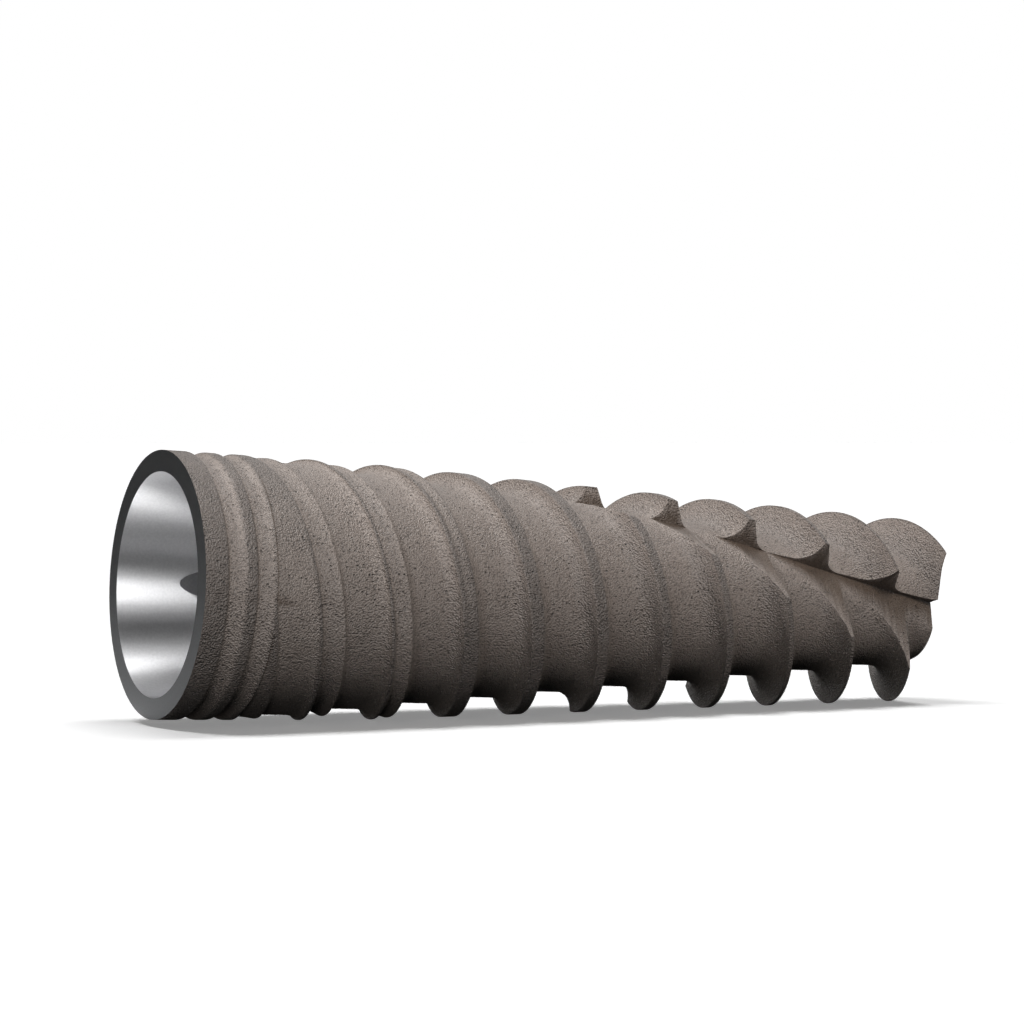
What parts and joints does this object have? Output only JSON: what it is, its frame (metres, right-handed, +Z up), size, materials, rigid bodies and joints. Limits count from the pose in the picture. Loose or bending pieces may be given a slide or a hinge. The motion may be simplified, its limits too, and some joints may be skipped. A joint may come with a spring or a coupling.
{
  "type": "dental implant",
  "caption": "Tapered self-cutting screw implant for the jaw, with a ringed collar, a deepening thread, cutting flutes at the apex and a conical bore with a round-cornered index.",
  "frame": {"origin": "on the ground, under the middle of the implant as it lies on its crests", "axes": "+X from the platform towards the apex, +Z up, -Y towards the viewer of the picture"},
  "size_m": [0.0132, 0.004, 0.0041],
  "materials": {
    "etched_titanium": "titanium, blasted and etched matt brown-grey outside, machined bright in the bore"
  },
  "bodies": {
    "root": {"implant_body": "etched_titanium"}
  },
  "joints": []
}
